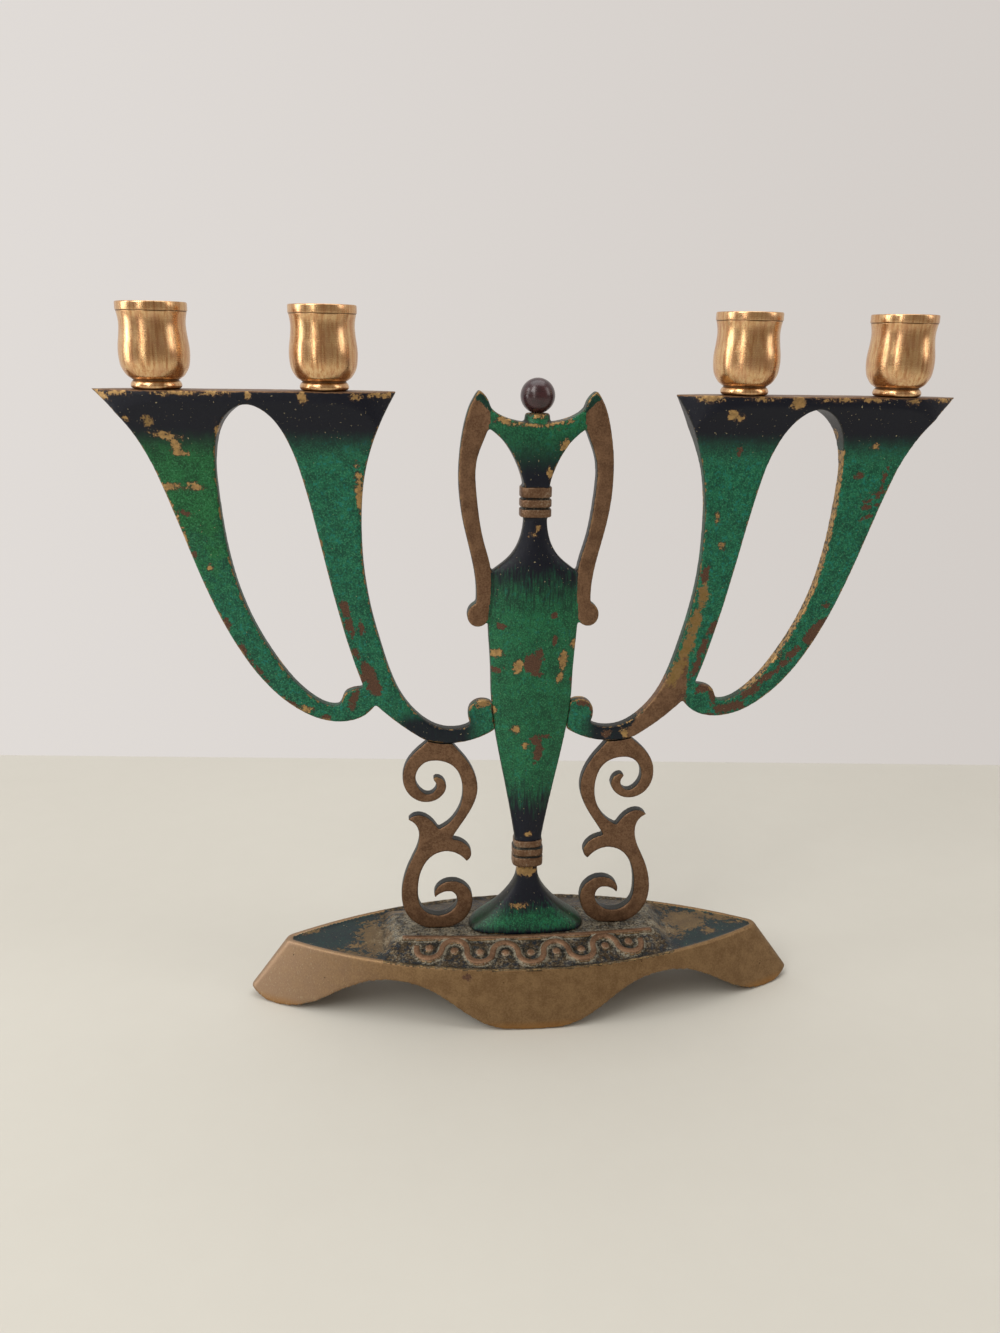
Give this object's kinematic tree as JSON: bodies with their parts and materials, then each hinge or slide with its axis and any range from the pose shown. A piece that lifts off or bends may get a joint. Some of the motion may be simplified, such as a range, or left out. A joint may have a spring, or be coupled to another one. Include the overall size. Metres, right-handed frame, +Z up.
{
  "type": "four-light candelabrum",
  "caption": "Cast brass candelabrum with a vase-shaped post, paired horn arms with turned candle cups, scroll brackets and a scalloped oval base.",
  "frame": {"origin": "middle of the base's footprint, on the table", "axes": "+X along the row of cups to the viewer's right, +Y to the back, +Z up"},
  "size_m": [0.2888, 0.062, 0.2506],
  "materials": {
    "green_patina": "green and black enamel over cast brass, worn through in patches",
    "bare_brown_brass": "bare brown cast brass",
    "bare_base_brass": "satin brown cast brass with a green and black recessed top",
    "turned_brass": "satin turned brass",
    "maroon_lacquer": "glossy dark maroon lacquer",
    "thread_steel": "plain steel fasteners, out of sight"
  },
  "bodies": {
    "candelabrum": {"base": "bare_base_brass", "vase": "green_patina", "arm_pair_left": "green_patina", "arm_pair_right": "green_patina", "scroll_left": "bare_brown_brass", "scroll_right": "bare_brown_brass", "foot_screw": "thread_steel", "foot_washer": "thread_steel", "scroll_left_screw": "thread_steel", "scroll_left_washer": "thread_steel", "scroll_right_screw": "thread_steel", "scroll_right_washer": "thread_steel"},
    "stud_1": {"cup_stud_1": "thread_steel"},
    "cup_1": {"candle_cup_1": "turned_brass"},
    "stud_2": {"cup_stud_2": "thread_steel"},
    "cup_2": {"candle_cup_2": "turned_brass"},
    "stud_3": {"cup_stud_3": "thread_steel"},
    "cup_3": {"candle_cup_3": "turned_brass"},
    "stud_4": {"cup_stud_4": "thread_steel"},
    "cup_4": {"candle_cup_4": "turned_brass"},
    "ball_stud": {"finial_stud": "thread_steel"},
    "ball": {"finial_ball": "maroon_lacquer"}
  },
  "joints": [
    {"name": "cup_1_rise", "type": "slide", "parent": "candelabrum", "child": "stud_1", "axis": [0, 0, 1], "range_m": [0, 0.0048]},
    {"name": "cup_1_unscrew", "type": "hinge", "parent": "stud_1", "child": "cup_1", "pos_m": [-0.1235, 0, 0.224], "axis": [0, 0, 1], "range_deg": [0, 2166]},
    {"name": "cup_2_rise", "type": "slide", "parent": "candelabrum", "child": "stud_2", "axis": [0, 0, 1], "range_m": [0, 0.0048]},
    {"name": "cup_2_unscrew", "type": "hinge", "parent": "stud_2", "child": "cup_2", "pos_m": [-0.0701, 0, 0.224], "axis": [0, 0, 1], "range_deg": [0, 2166]},
    {"name": "cup_3_rise", "type": "slide", "parent": "candelabrum", "child": "stud_3", "axis": [0, 0, 1], "range_m": [0, 0.0048]},
    {"name": "cup_3_unscrew", "type": "hinge", "parent": "stud_3", "child": "cup_3", "pos_m": [0.0701, 0, 0.224], "axis": [0, 0, 1], "range_deg": [0, 2166]},
    {"name": "cup_4_rise", "type": "slide", "parent": "candelabrum", "child": "stud_4", "axis": [0, 0, 1], "range_m": [0, 0.0048]},
    {"name": "cup_4_unscrew", "type": "hinge", "parent": "stud_4", "child": "cup_4", "pos_m": [0.1235, 0, 0.224], "axis": [0, 0, 1], "range_deg": [0, 2166]},
    {"name": "ball_rise", "type": "slide", "parent": "candelabrum", "child": "ball_stud", "axis": [0, 0, 1], "range_m": [0, 0.003]},
    {"name": "ball_unscrew", "type": "hinge", "parent": "ball_stud", "child": "ball", "pos_m": [0, 0, 0.2176], "axis": [0, 0, 1], "range_deg": [0, 2166]}
  ],
  "couplings": [
    {"joint": "cup_1_unscrew", "follows": "cup_1_rise", "rad_per_m": 7854},
    {"joint": "cup_2_unscrew", "follows": "cup_2_rise", "rad_per_m": 7854},
    {"joint": "cup_3_unscrew", "follows": "cup_3_rise", "rad_per_m": 7854},
    {"joint": "cup_4_unscrew", "follows": "cup_4_rise", "rad_per_m": 7854},
    {"joint": "ball_unscrew", "follows": "ball_rise", "rad_per_m": 12566}
  ]
}
